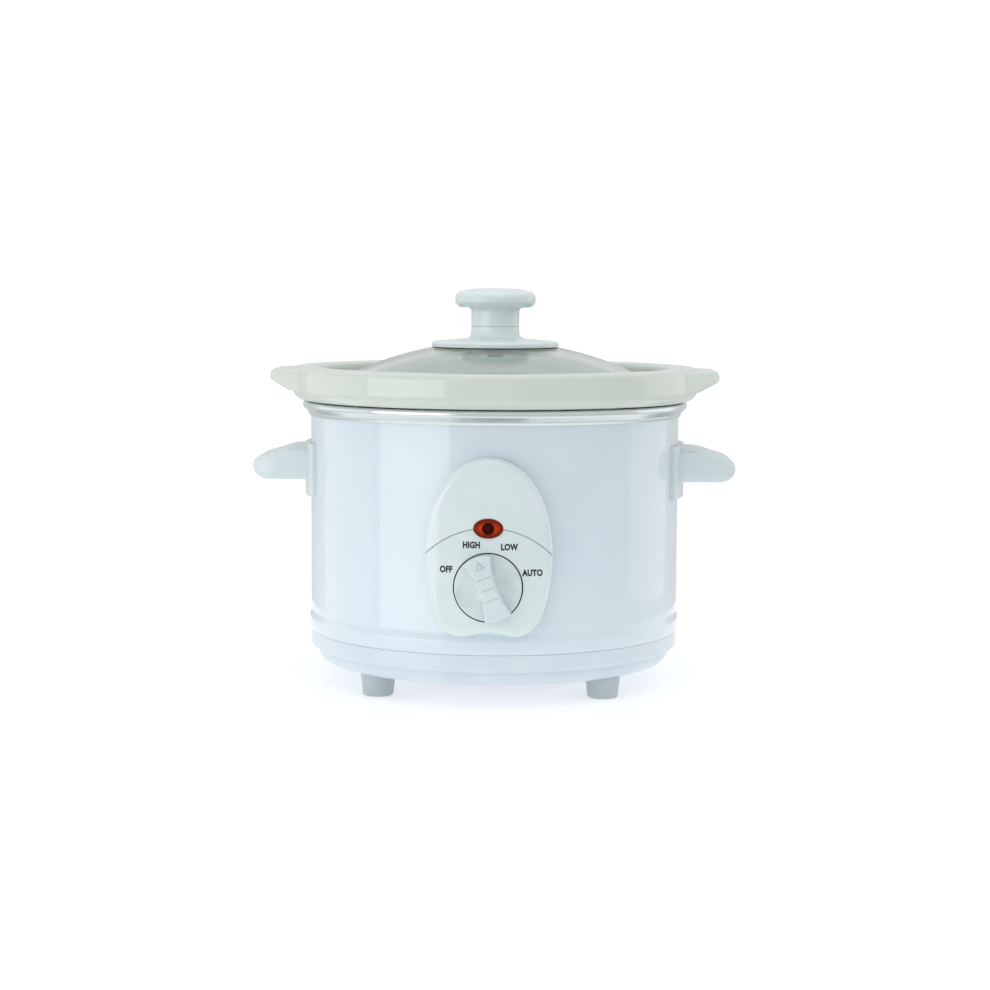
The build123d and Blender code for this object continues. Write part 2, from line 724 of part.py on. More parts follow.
def sub_parts():
    parts = {
        "outer_shell": outer_shell(),
        "rim_ring": rim_ring(),
        "heating_well": heating_well(),
        "heater_band": heater_band(),
        "base_cover": base_cover(),
        "centre_stud": centre_stud(),
        "heat_shield": heat_shield(),
        "stud_spacer_lower": stud_spacer(NUT_RECESS_Z + BASE_T, SHIELD_Z),
        "stud_spacer_upper": stud_spacer(SHIELD_Z + SHIELD_T, WELL_FLOOR - 1.6),
        "base_washer": base_washer(),
        "base_nut": base_nut(),
        "panel_hood": panel_hood(),
        "panel_plate": panel_plate(),
        "indicator_lens": indicator_lens(),
        "neon_lamp": neon_lamp(),
        "lamp_holder": lamp_holder(),
        "rotary_switch": rotary_switch(),
        "switch_nut": switch_nut(),
        "switch_shaft": switch_shaft(),
        "dial_knob": dial_knob(),
        "thermal_cutout": thermal_cutout(),
        "terminal_block": terminal_block(),
        "cord_gland": cord_gland(),
        "crock": crock(),
        "lid_glass": lid_glass(),
        "knob_seal": knob_seal(),
        "knob_base": knob_base(),
        "knob_cap": knob_cap(),
        "knob_washer": knob_washer(),
        "knob_screw": knob_screw(),
    }
    for name, (x, y) in foot_places().items():
        parts[f"foot_{name}"] = foot(x, y)
        parts[f"foot_screw_{name}"] = foot_screw(x, y)
    for name, angle in (("right", 0), ("left", 180)):
        turn = Rot(0, 0, angle)
        parts[f"handle_{name}"] = turn * side_handle()
        parts[f"handle_plate_{name}"] = turn * handle_plate()
        for which, tilt in (("a", -1), ("b", 1)):
            parts[f"handle_screw_{name}_{which}"] = turn * handle_screw(tilt)
    for name, (x, z) in PANEL_SCREWS.items():
        parts[f"panel_screw_{name}"] = panel_screw(x, z)
    for name, z in zip(("lower", "upper"), clamp_heights()):
        parts[f"clamp_screw_{name}"] = clamp_screw(z)
        parts[f"clamp_nut_{name}"] = clamp_nut(z)
    for name, side in (("left", -1), ("right", 1)):
        parts[f"terminal_screw_{name}"] = terminal_screw(side)
    return parts


os.makedirs("parts", exist_ok=True)
for node, solid in sub_parts().items():
    export_step(solid, f"parts/{node}.step")
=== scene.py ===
# %% [markdown]
# # A small round slow cooker
# A slow cooker is a painted steel drum on a moulded base. A stoneware crock hangs in it by its rim, and
# a glass lid closes the crock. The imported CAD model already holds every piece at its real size, so it is
# loaded as a fixed frame, and this file only adds what the eye reads: finishes, rolled and turned walls,
# the printed words and the light.

# %% Load the frame
from math import asin, cos, pi, radians, sin, sqrt, tan

import bmesh
import bpy
from mathutils import Matrix, Vector


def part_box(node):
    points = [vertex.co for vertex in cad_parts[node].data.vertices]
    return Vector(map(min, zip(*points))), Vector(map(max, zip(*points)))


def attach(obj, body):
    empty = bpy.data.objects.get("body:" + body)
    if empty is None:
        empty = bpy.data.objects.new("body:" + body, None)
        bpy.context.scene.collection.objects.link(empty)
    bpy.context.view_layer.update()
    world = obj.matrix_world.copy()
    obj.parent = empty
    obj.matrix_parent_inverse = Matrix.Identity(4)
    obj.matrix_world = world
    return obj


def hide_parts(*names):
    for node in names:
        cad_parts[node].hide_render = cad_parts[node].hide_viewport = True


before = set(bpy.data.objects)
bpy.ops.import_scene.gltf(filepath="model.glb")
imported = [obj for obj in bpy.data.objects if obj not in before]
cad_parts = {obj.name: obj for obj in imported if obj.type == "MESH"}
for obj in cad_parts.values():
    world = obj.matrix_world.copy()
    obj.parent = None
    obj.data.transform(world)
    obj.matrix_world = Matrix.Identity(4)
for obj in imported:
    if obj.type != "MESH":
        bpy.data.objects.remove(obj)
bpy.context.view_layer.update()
MM = 0.001

# %% [markdown]
# ## Camera
# A long lens from about a metre away keeps the drum's sides nearly upright, as in a catalogue picture.
# The camera stands a little above the lid and looks down by a few degrees. Its turn is built as a product
# of three rotations, because that says plainly which one comes first: yaw, then pitch, then a trace of roll.

# %% Place the camera
camera = bpy.data.objects.new("studio_camera", bpy.data.cameras.new("studio_camera"))
bpy.context.scene.collection.objects.link(camera)
bpy.context.scene.camera = camera
camera.data.sensor_width = 36
camera.data.lens = 77.8
camera.data.clip_end = 50
stand_turn = radians(1.58)
stand_reach = 1.086
stand_height = 0.1998
look_down = radians(5.61)
yaw = Matrix.Rotation(stand_turn - radians(0.016), 4, "Z")
pitch = Matrix.Rotation(radians(90) - look_down, 4, "X")
roll = Matrix.Rotation(radians(0.32), 4, "Z")
stand = Vector((stand_reach * sin(stand_turn), -stand_reach * cos(stand_turn), stand_height))
camera.matrix_world = Matrix.Translation(stand) @ yaw @ pitch @ roll
print("camera at", [round(v, 3) for v in camera.location])

# %% [markdown]
# ## Helpers for materials
# Every finish starts from one shader, the Principled BSDF, and gets its detail from noise that is read in
# the piece's own coordinates. A noise pattern of scale s repeats about every 1/s metres, so a grain of a
# known size in millimetres gives its scale directly. Colours are written as on a screen, in sRGB, and
# turned to the linear light that the renderer adds up.


# %% Colour, nodes and a bare finish
def linear(tone):
    """An sRGB colour such as #D4DFE5 as linear light."""
    parts = [int(tone[n : n + 2], 16) / 255 for n in (1, 3, 5)]
    return (*[c / 12.92 if c <= 0.04045 else ((c + 0.055) / 1.055) ** 2.4 for c in parts], 1.0)


def add(tree, kind, settings=None, inputs=None):
    """Adds a node to a tree. An input is either a value or another node's socket, which is linked."""
    node = tree.nodes.new(kind)
    for name, value in (settings or {}).items():
        setattr(node, name, value)
    for name, value in (inputs or {}).items():
        if isinstance(value, bpy.types.NodeSocket):
            tree.links.new(value, node.inputs[name])
        else:
            node.inputs[name].default_value = value
    return node


class Finish:
    """A material with its shader, and the place on the piece that its patterns read."""

    def __init__(self, name, tone, **sockets):
        self.tone = tone
        self.material = bpy.data.materials.new(name)
        self.material.use_nodes = True
        self.tree = self.material.node_tree
        self.tree.nodes.clear()
        named = {key.replace("_", " "): value for key, value in sockets.items()}
        self.shader = add(self.tree, "ShaderNodeBsdfPrincipled", None, {"Base Color": linear(tone), **named})
        add(self.tree, "ShaderNodeOutputMaterial", None, {"Surface": self.shader.outputs["BSDF"]})
        self.place = add(self.tree, "ShaderNodeTexCoord").outputs["Object"]

    def noise(self, size_mm, detail=2.0, place=None):
        """Cloudy noise whose blots are about size_mm across."""
        inputs = {"Vector": place or self.place, "Scale": 1 / (size_mm * MM), "Detail": detail}
        return add(self.tree, "ShaderNodeTexNoise", None, inputs).outputs[0]

    def stretch(self, value, low, high, to_low=0.0, to_high=1.0):
        """Maps the part of a value between low and high to a new range."""
        inputs = {"Value": value, "From Min": low, "From Max": high, "To Min": to_low, "To Max": to_high}
        soft = {"interpolation_type": "SMOOTHSTEP"}
        return add(self.tree, "ShaderNodeMapRange", soft, inputs).outputs["Result"]

    def tint(self, factor, tone):
        """Mixes another tone into the colour so far, where the factor says."""
        colour = self.shader.inputs["Base Color"]
        before = colour.links[0].from_socket if colour.links else linear(self.tone)
        mix = add(self.tree, "ShaderNodeMix", {"data_type": "RGBA"}, {0: factor, 6: before, 7: linear(tone)})
        self.tree.links.new(mix.outputs[2], colour)

    def relief(self, height, depth_mm, strength=1.0):
        """Raises the surface by a pattern of the given depth, on top of any relief so far."""
        normal = self.shader.inputs["Normal"]
        inputs = {"Height": height, "Distance": depth_mm * MM, "Strength": strength}
        if normal.links:
            inputs["Normal"] = normal.links[0].from_socket
        bump = add(self.tree, "ShaderNodeBump", None, inputs)
        self.tree.links.new(bump.outputs["Normal"], normal)

    def wear(self, value, low, high):
        """Lets the roughness wander between two values."""
        rough = self.stretch(value, 0.35, 0.65, low, high)
        self.tree.links.new(rough, self.shader.inputs["Roughness"])

    def round_the_axis(self):
        """The place as (radius, 0, height), so that a pattern runs round the pot as lathe marks do."""
        parts = add(self.tree, "ShaderNodeSeparateXYZ", None, {"Vector": self.place}).outputs
        flat = add(self.tree, "ShaderNodeCombineXYZ", None, {"X": parts["X"], "Y": parts["Y"]}).outputs[0]
        radius = add(self.tree, "ShaderNodeVectorMath", {"operation": "LENGTH"}, {0: flat}).outputs["Value"]
        return add(self.tree, "ShaderNodeCombineXYZ", None, {"X": radius, "Z": parts["Z"]}).outputs[0]


# %% [markdown]
# ## Baked enamel on the drum
# The drum is sheet steel with a baked white coat. Sprayed paint never lies quite flat: it dries with a
# faint orange peel, two or three millimetres from hump to hump, under a hard glossy skin. A clear coat
# over a softer base gives both the crisp edge of a reflected softbox and the milky white under it.

# %% Enamel
enamel = Finish(
    "baked_enamel_on_steel", "#D8E4EC", Roughness=0.34, Coat_Weight=1.0, Coat_Roughness=0.045, Coat_IOR=1.5
)
enamel.tint(enamel.stretch(enamel.noise(38), 0.3, 0.7, 0, 0.4), "#D2DEE8")
enamel.wear(enamel.noise(14), 0.3, 0.37)
enamel.relief(enamel.noise(2.6, 1.0), 0.004)
enamel.relief(enamel.noise(55, 0.0), 0.03)

# %% [markdown]
# ## Cream glaze on stoneware
# A glazed crock is dipped, so the glaze is thick: it pools, rounds over every edge and carries small
# pits and iron specks from the clay. The specks are rarer and coarser here than real ones, about half a
# millimetre, because finer ones would not show at this distance. A little light goes into the glaze and
# comes out again beside where it went in, which subsurface scattering gives.

# %% Glaze
glaze = Finish(
    "cream_glaze_on_stoneware", "#D3DCD2", Roughness=0.33,
    Coat_Weight=1.0, Coat_Roughness=0.06, Coat_IOR=1.52,
    Subsurface_Weight=0.12, Subsurface_Radius=(0.0022, 0.002, 0.0016), Subsurface_Scale=1.0,
)
glaze.tint(glaze.stretch(glaze.noise(24, 1.0), 0.3, 0.7, 0, 0.5), "#CED7CC")
glaze_cells = add(
    glaze.tree, "ShaderNodeTexVoronoi", {"feature": "F1"}, {"Vector": glaze.place, "Scale": 1 / (9 * MM)}
).outputs["Distance"]
glaze.tint(glaze.stretch(glaze_cells, 0.035, 0.06, 0.22, 0), "#A39E8C")
glaze.wear(glaze.noise(18), 0.3, 0.38)
glaze.relief(glaze.noise(9, 0.0), 0.02)
glaze.relief(glaze.stretch(glaze_cells, 0.02, 0.07), 0.02)

# %% [markdown]
# ## Rolled and spun aluminium
# The ring round the top is polished, and the well inside is plain spun sheet. Both carry fine marks that
# run round the pot, left by the roller or the spinning tool. Noise read in (radius, height) instead of
# (x, y, z) is the same all the way round, which is just what such marks are.


# %% Aluminium
def turned_metal(name, tone, mark_mm, depth_mm, low, high, mark_shade):
    """Bare metal with tool marks round the pot's axis."""
    metal = Finish(name, tone, Metallic=1.0, Roughness=low)
    marks = metal.noise(mark_mm, 3.0, metal.round_the_axis())
    metal.relief(marks, depth_mm)
    metal.wear(metal.noise(9, 4.0), low, high)
    metal.tint(metal.stretch(marks, 0.45, 0.75, 0, mark_shade), "#B9BDC0")
    return metal


polished = turned_metal("polished_rolled_aluminium", "#DCE1E2", 0.9, 0.0003, 0.19, 0.25, 0.12)
spun = turned_metal("spun_aluminium_sheet", "#CFD2D3", 0.8, 0.01, 0.32, 0.45, 0.3)

# %% [markdown]
# ## Moulded plastics
# Handles, panel, dial, base and feet are injection moulded. The steel mould is spark eroded, which leaves a
# fine even grain, and the plastic flows in with a faint cloudiness. The grain is only a few thousandths of
# a millimetre deep, so it is drawn as bump. It is set a little wider than life so that it shows. The parts
# that are polished in the mould get a thin coat over it, and the panel is the glossiest of them.


# %% Plastics
def moulded(name, tone, shade, rough, grain_mm, depth_mm, coat=0.0, coat_rough=0.12):
    """Moulded plastic: an even grain, and a second tone that drifts over a few centimetres."""
    plastic = Finish(name, tone, Roughness=rough, IOR=1.53, Coat_Weight=coat, Coat_Roughness=coat_rough)
    plastic.tint(plastic.stretch(plastic.noise(21, 1.0), 0.3, 0.7), shade)
    plastic.wear(plastic.noise(9, 1.0), rough - 0.02, rough + 0.04)
    plastic.relief(plastic.noise(grain_mm, 2.0), depth_mm)
    return plastic


panel_abs = moulded("moulded_white_ABS_panel", "#DBE7E7", "#D6E2E3", 0.2, 1.4, 0.0015, 1.0, 0.05)
handle_phenolic = moulded("moulded_white_phenolic_handle", "#D8E3E5", "#D3DFE1", 0.33, 0.9, 0.003, 0.3)
base_pp = moulded("moulded_white_polypropylene_base", "#D7E2EA", "#D2DDE6", 0.33, 0.9, 0.003, 0.4)
# The feet's tone is a darker copy of the base's white: painted shade for the shade under the base.
foot_pp_painted_shade = moulded("moulded_white_polypropylene_foot", "#B8C1C6", "#B1BBC0", 0.38, 0.9, 0.004)
# The knob's white is lighter than the handles' phenolic: painted light, standing in for light from the
# front.
knob_phenolic_painted_light = moulded("moulded_white_phenolic_knob_painted_light", "#E1EBEC", "#DDE7E8", 0.22, 1.1, 0.003, 0.5)
dial_abs = moulded("moulded_white_ABS_dial", "#D4E0E0", "#CFDBDC", 0.33, 0.9, 0.003, 0.3)
switch_phenolic = moulded("moulded_black_phenolic_switch", "#1C1D1F", "#26272A", 0.45, 0.9, 0.01)
gland_nylon = moulded("moulded_grey_nylon_gland", "#B9C1C4", "#AEB7BA", 0.42, 0.8, 0.008)
silicone = moulded("pressed_silicone_seal", "#E3E9E5", "#D8DFDB", 0.55, 0.6, 0.006)
# The black ring behind the dial is painted shade: it makes the gap round the dial read as black.
gap_painted_shade = moulded("black_ring_painted_shade", "#101112", "#1A1B1D", 0.9, 0.5, 0.06)

# %% [markdown]
# ## Screws, terminals and the lamp
# Screws are zinc-plated steel, whose crystals make a faint blotchy sheen, and the terminals are brass. The
# lens is a red-orange polycarbonate cap, and the lamp behind it is a small bulb that looks nearly black
# when it is off. Only the lamp's round end is dark, so the lens takes a darker tone inside that radius, a
# little less dark at its middle: the bulb and the shade behind the lens, painted on. It is painted darker
# again towards its rim, painted shade for the light's longer way through the plastic.


# %% Small metals
def plated(name, tone, shade, rough):
    """Plated metal with a blotchy sheen."""
    metal = Finish(name, tone, Metallic=1.0, Roughness=rough)
    blots = metal.noise(1.3, 3.0)
    metal.tint(metal.stretch(blots, 0.4, 0.7, 0, 0.6), shade)
    metal.wear(blots, rough - 0.06, rough + 0.1)
    metal.relief(metal.noise(0.4, 2.0), 0.003)
    return metal


zinc = plated("zinc_plated_steel", "#BFC3C6", "#A6ABB0", 0.36)
brass = plated("machined_brass", "#C9A960", "#B08F48", 0.36)

# %% Lens, lamp and glass
lens_low, lens_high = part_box("indicator_lens")
lens_centre = (lens_low + lens_high) / 2
lens_a = (lens_high.x - lens_low.x) / 2
lens_b = (lens_high.z - lens_low.z) / 2
lamp_radius = (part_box("neon_lamp")[1].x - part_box("neon_lamp")[0].x) / 2

lens_amber = Finish(
    "moulded_red_polycarbonate_lens", "#B83C0E", Roughness=0.12, IOR=1.3, Specular_IOR_Level=0.2
)
from_lamp = add(
    lens_amber.tree, "ShaderNodeVectorMath", {"operation": "SUBTRACT"},
    {0: lens_amber.place, 1: (lens_centre.x, lens_centre.y, lens_centre.z)},
).outputs["Vector"]


def lens_reach(upright):
    """How far a point of the lens is from the lamp's axis, with heights counted `upright` times."""
    pull = {0: from_lamp, 1: (1, 0, upright)}
    flat = add(lens_amber.tree, "ShaderNodeVectorMath", {"operation": "MULTIPLY"}, pull).outputs["Vector"]
    return add(lens_amber.tree, "ShaderNodeVectorMath", {"operation": "LENGTH"}, {0: flat}).outputs["Value"]


lamp_reach = lens_reach(1)
rim_reach = lens_reach(1.3 * lens_a / lens_b)
# Painted shade: the lens is darker towards its rim, and darker still over the lamp behind it.
lens_amber.tint(lens_amber.stretch(rim_reach, lens_a * 0.5, lens_a, 0, 0.9), "#6A1606")
lens_amber.tint(lens_amber.stretch(lamp_reach, lamp_radius, lamp_radius * 1.14, 1, 0), "#300402")
lens_amber.tint(lens_amber.stretch(lamp_reach, 0, lamp_radius * 0.6, 0.5, 0), "#4B1408")
lens_amber.relief(lens_amber.noise(1.6, 1.0), 0.006)

lamp_glass = Finish("blown_glass_lamp", "#5A2A20", Roughness=0.05, Transmission_Weight=0.6, IOR=1.5)
lamp_glass.relief(lamp_glass.noise(2.5), 0.01)

lid_glass = Finish("pressed_clear_glass", "#E5EDE8", Roughness=0.0, Transmission_Weight=1.0, IOR=1.5)
lid_glass.relief(lid_glass.noise(30, 0.0), 0.05)

ink = Finish("pad_printed_black_ink", "#0B0B0C", Roughness=0.5)
ink.tint(ink.stretch(ink.noise(0.5), 0.45, 0.7, 0, 0.5), "#1A1A1C")
print(len(bpy.data.materials), "materials, the CAD's own among them")

# %% [markdown]
# ## The finish of every CAD node
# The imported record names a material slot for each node, and the imported mesh carries that name. One table
# from slot to finish therefore dresses all nodes at once.

# %% Dress the CAD nodes
slot_finish = {
    "body_enamel": enamel,
    "rim_metal": polished,
    "well_aluminium": spun,
    "base_plastic": base_pp,
    "steel_fixings": zinc,
    "foot_plastic": foot_pp_painted_shade,
    "handle_plastic": handle_phenolic,
    "panel_plastic": panel_abs,
    "lens_plastic": lens_amber,
    "lamp_glass": lamp_glass,
    "switch_plastic": switch_phenolic,
    "brass_screws": brass,
    "gland_plastic": gland_nylon,
    "cream_glaze": glaze,
    "lid_clear_glass": lid_glass,
    "seal_rubber": silicone,
    "knob_plastic": knob_phenolic_painted_light,
    "dial_plastic": dial_abs,
}
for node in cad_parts.values():
    for place in node.material_slots:
        place.material = slot_finish[place.material.name.split(".")[0]].material
print("dressed", len(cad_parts), "CAD nodes")

# %% [markdown]
# ## Turned pieces with Geometry Nodes
# The drum, its bright ring, the lid and the knob are all made by turning: rolled, spun, pressed in a round
# mould. Their shape follows one rule, a profile swept once round an axis. The node tree below takes a chain
# of points, with radius along X and height along Z, and wraps a grid round the axis: each column of the
# grid is a copy of the chain, turned a step further. Points that meet on the axis are then merged. A
# Spin in mesh code would do as well, but here the number of sides stays an input until the end.


# %% The turning tree
def real_and_dressed(tree, shape, finish):
    """The end of every tree: its copies are made real and take their material."""
    real = add(tree, "GeometryNodeRealizeInstances", None, {"Geometry": shape}).outputs[0]
    return add(tree, "GeometryNodeSetMaterial", None, {"Geometry": real, "Material": finish}).outputs[0]


def turning_tree():
    """Turns a chain of points about Z. Its inputs are the chain, the number of sides and the finish."""
    tree = bpy.data.node_groups.new("turned_piece", "GeometryNodeTree")
    tree.interface.new_socket("Profile", in_out="INPUT", socket_type="NodeSocketGeometry")
    tree.interface.new_socket("Sides", in_out="INPUT", socket_type="NodeSocketInt")
    tree.interface.new_socket("Finish", in_out="INPUT", socket_type="NodeSocketMaterial")
    tree.interface.new_socket("Piece", in_out="OUTPUT", socket_type="NodeSocketGeometry")
    given = add(tree, "NodeGroupInput").outputs

    def sum_of(kind, first, second):
        return add(tree, "ShaderNodeMath", {"operation": kind}, {0: first, 1: second}).outputs[0]

    size = add(tree, "GeometryNodeAttributeDomainSize", None, {"Geometry": given["Profile"]})
    count = size.outputs["Point Count"]
    rows = sum_of("SUBTRACT", count, 1)
    sizes = {
        "Size X": given["Sides"],
        "Size Y": rows,
        "Vertices X": sum_of("ADD", given["Sides"], 1),
        "Vertices Y": count,
    }
    grid = add(tree, "GeometryNodeMeshGrid", None, sizes).outputs["Mesh"]
    position = add(tree, "GeometryNodeInputPosition").outputs[0]
    cell = add(tree, "ShaderNodeSeparateXYZ", None, {0: position}).outputs
    column = sum_of("ADD", cell["X"], sum_of("DIVIDE", given["Sides"], 2))
    row = sum_of("ROUND", sum_of("ADD", cell["Y"], sum_of("DIVIDE", rows, 2)), 0)
    angle = sum_of("DIVIDE", sum_of("MULTIPLY", column, 2 * pi), given["Sides"])
    on_chain = add(
        tree, "GeometryNodeSampleIndex", {"data_type": "FLOAT_VECTOR", "domain": "POINT"},
        {"Geometry": given["Profile"], "Value": position, "Index": row},
    ).outputs["Value"]
    point = add(tree, "ShaderNodeSeparateXYZ", None, {0: on_chain}).outputs
    turned = {
        "X": sum_of("MULTIPLY", point["X"], sum_of("COSINE", angle, 0)),
        "Y": sum_of("MULTIPLY", point["X"], sum_of("SINE", angle, 0)),
        "Z": point["Z"],
    }
    target = add(tree, "ShaderNodeCombineXYZ", None, turned).outputs[0]
    wrapped = add(tree, "GeometryNodeSetPosition", None, {"Geometry": grid, "Position": target}).outputs[0]
    closing = {"Geometry": wrapped, "Distance": 0.004 * MM}
    merged = add(tree, "GeometryNodeMergeByDistance", None, closing).outputs[0]
    smooth = add(tree, "GeometryNodeSetShadeSmooth", None, {"Geometry": merged}).outputs[0]
    add(tree, "NodeGroupOutput", None, {"Piece": real_and_dressed(tree, smooth, given["Finish"])})
    return tree


turning = turning_tree()


# %% Run a tree and keep the plain mesh
def grown(name, mesh, tree, **inputs):
    """Runs a node tree on a mesh and returns a plain object with the result."""
    source = bpy.data.objects.new(name + "_source", mesh)
    bpy.context.scene.collection.objects.link(source)
    modifier = source.modifiers.new("grow", "NODES")
    modifier.node_group = tree
    sockets = {s.name: s.identifier for s in tree.interface.items_tree if s.in_out == "INPUT"}
    for key, value in inputs.items():
        modifier[sockets[key.replace("_", " ")]] = value
    result = bpy.data.meshes.new_from_object(source.evaluated_get(bpy.context.evaluated_depsgraph_get()))
    bpy.data.objects.remove(source)
    return placed(name, result)


def placed(name, mesh):
    """Puts a mesh in the scene as an object at the origin, with its faces outwards."""
    shape = bmesh.new()
    shape.from_mesh(mesh)
    bmesh.ops.remove_doubles(shape, verts=shape.verts, dist=0.001 * MM)
    bmesh.ops.recalc_face_normals(shape, faces=shape.faces)
    shape.to_mesh(mesh)
    shape.free()
    mesh.name = name
    piece = bpy.data.objects.new(name, mesh)
    bpy.context.scene.collection.objects.link(piece)
    return piece


# %% [markdown]
# A profile is easiest to read as its corners, each with the radius that rounds it. The function below
# draws the arcs. It also puts one more point just before and after each arc: smooth shading blends across
# a whole face, and these narrow faces keep the blend out of the long flat ones beside them.


# %% Rounded profiles
def rounded(corners, steps=5):
    """Points (u, v) round a closed outline from corners (u, v, radius), in mm."""
    points = []
    for n, (u, v, radius) in enumerate(corners):
        here = Vector((u, v))
        if radius == 0:
            points.append(here)
            continue
        to_last = Vector(corners[n - 1][:2]) - here
        to_next = Vector(corners[(n + 1) % len(corners)][:2]) - here
        half_angle = to_last.angle(to_next) / 2
        cut = radius / tan(half_angle)
        inward = (to_last.normalized() + to_next.normalized()).normalized()
        middle = here + inward * radius / sin(half_angle)
        start = here + to_last.normalized() * cut - middle
        end = here + to_next.normalized() * cut - middle
        turn = start.angle_signed(end)
        guard = min(0.25 * radius, 0.2)
        if to_last.length > cut + 2 * guard:
            points.append(middle + start + to_last.normalized() * guard)
        for step in range(steps + 1):
            arm = Matrix.Rotation(-turn * step / steps, 2) @ start
            points.append(middle + arm)
        if to_next.length > cut + 2 * guard:
            points.append(middle + end + to_next.normalized() * guard)
    return points + points[:1]


def arc(radius, centre, r_from, r_to, steps):
    """Points along a dome of the given radius about a centre height on the axis, in mm."""
    angles = [asin(r / radius) for r in (r_from, r_to)]
    spread = [angles[0] + (angles[1] - angles[0]) * n / steps for n in range(steps + 1)]
    return [Vector((radius * sin(a), centre + radius * cos(a))) for a in spread]


def turned_piece(name, points, finish, sides=192):
    """Turns a closed chain of points, in mm, about the pot's axis."""
    chain = bpy.data.meshes.new(name + "_profile")
    corners = [(p.x * MM, 0, p.y * MM) for p in points]
    chain.from_pydata(corners, [(n, n + 1) for n in range(len(corners) - 1)], [])
    return grown(name, chain, turning, Sides=sides, Finish=finish.material)


def settle(piece, body, slot, *nodes):
    """Tells the frame which body a piece rides on and which nodes it stands for. The slot is not used."""
    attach(piece, body)
    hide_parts(*nodes)
    print(piece.name, len(piece.data.polygons), "faces on", body)


# %% [markdown]
# ## The drum
# The wall is one strip of steel, rolled to a cylinder. Its foot is pressed outwards into a bead, which
# stiffens it and gives it something to sit on the base by. Its top is hidden under the bright ring. The
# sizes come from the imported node's box: the bead is the widest place, and the wall stands just inside it.

# %% Drum wall
shell_low, shell_high = (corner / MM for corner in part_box("outer_shell"))
bead_r = shell_high.x
wall_r = bead_r - 0.9
wall_t = 0.9
bead_top = shell_low.z + 9.7
drum_profile = [
    (wall_r, shell_high.z, 0.2),
    (wall_r - wall_t, shell_high.z, 0.2),
    (wall_r - wall_t, shell_low.z + 0.6, 0.2),
    (wall_r - wall_t + 0.3, shell_low.z, 0.2),
    (wall_r + 0.1, shell_low.z, 0.35),
    (bead_r - 0.05, shell_low.z + 2.2, 1.6),
    (bead_r - 0.05, shell_low.z + 6.6, 3.0),
    (wall_r - 0.15, bead_top, 0.5),
    (wall_r, bead_top + 0.7, 0.5),
]
drum = turned_piece("drum_wall", rounded(drum_profile), enamel, 256)
settle(drum, "base", "body_enamel", "outer_shell")

# %% [markdown]
# ## The bright ring
# A thin aluminium band is rolled over the edge of the drum: a plain skirt, a small step, then one broad
# round bead that catches a white highlight all the way along. The step is sharp on the real one, so its
# radii are only a few tenths of a millimetre, and the bead's are one or two millimetres. Inside, the band's
# collar stands on the flange of the heating well, and holds it down on the drum's edge.

# %% Bright ring
ring_low, ring_high = (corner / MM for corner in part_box("rim_ring"))
ring_r = ring_high.x
skirt_r = wall_r + 0.05
collar_r = 85.5
collar_bottom = 137.35
ring_profile = [
    (skirt_r, ring_low.z, 0.1),
    (ring_r - 3.1, ring_low.z, 0.25),
    (ring_r - 2.6, ring_low.z + 1.35, 0.3),
    (ring_r - 2.75, ring_low.z + 1.65, 0.12),
    (ring_r + 0.1, ring_low.z + 4.3, 1.8),
    (ring_r, ring_high.z - 0.35, 1.5),
    (ring_r - 1.6, ring_high.z, 0.9),
    (collar_r + 1.5, ring_high.z, 0.4),
    (collar_r, ring_high.z - 1.3, 0.4),
    (collar_r, collar_bottom, 0.1),
    (skirt_r, collar_bottom, 0.1),
]
bright_ring = turned_piece("bright_ring", rounded(ring_profile), polished, 256)
settle(bright_ring, "base", "rim_metal", "rim_ring")

# %% [markdown]
# ## The lid
# Pressed glass is never thin or sharp: the lid is a 4 mm dome whose edge is melted round. It is a closed
# solid with a hole for the knob's screw, because light bends at both of its faces, and a single sheet
# would look like a bubble.

# %% Lid
lid_low, lid_high = (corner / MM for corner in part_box("lid_glass"))
dome_r = 168.0
dome_top = 171.5
dome_centre = dome_top - dome_r
glass_t = 4.0
hole_r = 3.2
edge_r = lid_high.x
lip_r = 1.85
dome_over = arc(dome_r, dome_centre, hole_r, edge_r - 6.6, 48)
dome_under = arc(dome_r - glass_t, dome_centre, edge_r - 10.1, hole_r, 48)
lip = [
    Vector((edge_r - 1.9 + lip_r * sin(a), lid_low.z + lip_r + lip_r * cos(a)))
    for a in [pi * n / 10 for n in range(11)]
]
foot_of_dome = [Vector((edge_r - 7.2, lid_low.z)), Vector((edge_r - 8.6, lid_low.z + 0.25))]
lid_points = dome_over + lip + foot_of_dome + dome_under
lid = turned_piece("lid_dome", lid_points + lid_points[:1], lid_glass, 192)
settle(lid, "lid", "lid_clear_glass", "lid_glass")

# %% [markdown]
# ## The knob
# The knob is two mouldings on one screw: a flange whose underside follows the glass, with a pocket for
# the seal, and a cap with the slightly domed disc that the fingers lift. The fine groove where they meet is
# what tells the eye that it is two pieces, so each has a small radius there. The flange's chain of points
# is its rounded top, then an arc along the glass, then an arc over the seal. The two corners that only
# lead the rounding to the arcs are dropped again.

# %% Knob
cap_low, cap_high = (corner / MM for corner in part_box("knob_cap"))
flange_low, flange_high = (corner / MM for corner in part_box("knob_base"))
disc_r = cap_high.x
flange_r = flange_high.x
stem_r = 12.2
screw_hole_r = 2.5
screw_hole_top = 191.0
cap_profile = [
    (0, cap_high.z, 0),
    (11.0, cap_high.z - 0.25, 30.0),
    (disc_r, cap_high.z - 2.0, 3.8),
    (disc_r, cap_high.z - 9.6, 3.4),
    (stem_r, cap_high.z - 9.8, 2.2),
    (stem_r - 0.05, cap_low.z, 0.35),
    (screw_hole_r, cap_low.z, 0.2),
    (screw_hole_r, screw_hole_top, 0.2),
    (0, screw_hole_top, 0),
]
knob_top = turned_piece("knob_top", rounded(cap_profile, 8), knob_phenolic_painted_light, 96)
settle(knob_top, "lid", "knob_plastic", "knob_cap")

